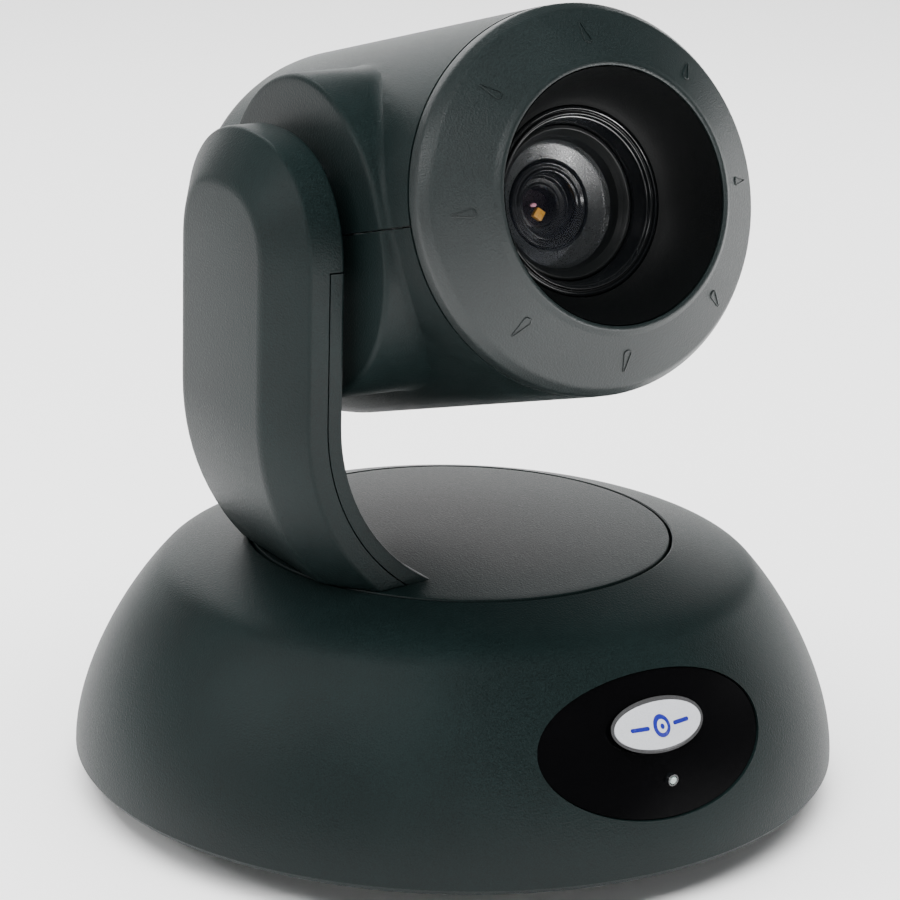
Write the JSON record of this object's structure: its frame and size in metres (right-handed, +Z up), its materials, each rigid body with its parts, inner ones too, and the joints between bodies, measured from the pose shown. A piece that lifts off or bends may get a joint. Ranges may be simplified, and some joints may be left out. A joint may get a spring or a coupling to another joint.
{
  "type": "ptz camera",
  "caption": "One-armed pan, tilt and zoom camera: a barrel head on a bent side arm over a domed round base with a glossy oval front window and a rear connector recess.",
  "frame": {"origin": "on the table, under the centre of the round base", "axes": "+Z up along the pan axis; the lens looks along -Y, tilted up 16 degrees at rest; the arm stands on the -X side; the tilt axis is along X; the base front (window and badge) is turned 2.5 degrees from -Y towards +X, because the head is panned that much from it at rest"},
  "size_m": [0.203, 0.203, 0.2139],
  "materials": {
    "shell_plastic": "fine-grained charcoal moulded plastic with a satin sheen",
    "window_plastic": "polished black infrared-passing plastic",
    "badge_metal": "domed silver badge under clear resin",
    "black_plastic": "smooth matte black",
    "steel": "zinc plated sheet and turned steel",
    "aluminium": "die cast",
    "brass": "machined",
    "rubber": "matte",
    "circuit_board": "green solder mask",
    "gear_nylon": "natural moulded nylon",
    "glass": "coated optical glass"
  },
  "bodies": {
    "base": {"base_shell": "shell_plastic", "connector_panel": "shell_plastic", "front_window": "window_plastic", "badge": "badge_metal", "power_socket": "black_plastic", "control_socket": "black_plastic", "processor": "black_plastic", "infrared_receiver": "black_plastic", "base_plate": "steel", "pan_bearing": "steel", "pan_motor": "steel", "pan_motor_carrier": "steel", "network_socket": "steel", "video_socket": "steel", "plate_screw_1": "steel", "plate_screw_2": "steel", "plate_screw_3": "steel", "plate_screw_4": "steel", "plate_screw_5": "steel", "plate_screw_6": "steel", "pan_tower": "aluminium", "tripod_nut": "brass", "foot_1": "rubber", "foot_2": "rubber", "foot_3": "rubber", "foot_4": "rubber", "front_board": "circuit_board", "connector_board": "circuit_board", "main_board": "circuit_board", "status_light": "glass"},
    "turntable_arm": {"turntable": "shell_plastic", "pan_shaft": "steel", "pan_gear": "gear_nylon", "arm_outer_shell": "shell_plastic", "arm_inner_cover": "shell_plastic", "arm_frame": "steel", "tilt_bearing": "steel", "tilt_motor": "steel"},
    "pan_drive": {"pan_pinion": "brass"},
    "tilt_drive": {"tilt_pinion": "brass"},
    "head": {"head_upper_shell": "shell_plastic", "head_lower_shell": "shell_plastic", "front_bezel": "shell_plastic", "lens_hood": "black_plastic", "lens_barrel": "black_plastic", "retaining_ring": "black_plastic", "front_glass": "glass", "camera_block": "aluminium", "sensor_board": "circuit_board", "image_sensor": "black_plastic", "tilt_hub": "black_plastic", "tilt_shaft": "steel", "tilt_gear": "gear_nylon", "head_bracket": "steel", "head_screw_1": "steel", "head_screw_2": "steel"},
    "zoom_group": {"zoom_cell": "black_plastic", "zoom_lens": "glass"},
    "focus_group": {"focus_cell": "black_plastic", "focus_lens": "glass"}
  },
  "joints": [
    {"name": "pan", "type": "hinge", "parent": "base", "child": "turntable_arm", "pos_m": [0, 0, 0.0669], "axis": [0, 0, 1], "range_deg": [-152.5, 157.5]},
    {"name": "pan_pinion_spin", "type": "hinge", "parent": "base", "child": "pan_drive", "pos_m": [0.02997, 0.00131, 0.055], "axis": [0, 0, 1], "range_deg": [-472.5, 457.5]},
    {"name": "tilt", "type": "hinge", "parent": "turntable_arm", "child": "head", "pos_m": [0, -0.0009, 0.1525], "axis": [-1, 0, 0], "range_deg": [-45.8, 74.2]},
    {"name": "tilt_pinion_spin", "type": "hinge", "parent": "turntable_arm", "child": "tilt_drive", "pos_m": [-0.0595, -0.0009, 0.1315], "axis": [-1, 0, 0], "range_deg": [-185.5, 114.5]},
    {"name": "zoom", "type": "slide", "parent": "head", "child": "zoom_group", "axis": [0, -0.9622, 0.2723], "range_m": [-0.008, 0.001]},
    {"name": "focus", "type": "slide", "parent": "head", "child": "focus_group", "axis": [0, -0.9622, 0.2723], "range_m": [-0.0015, 0.0015]}
  ],
  "couplings": [
    {"joint": "pan_pinion_spin", "follows": "pan", "ratio": -3},
    {"joint": "tilt_pinion_spin", "follows": "tilt", "ratio": -2.5}
  ]
}
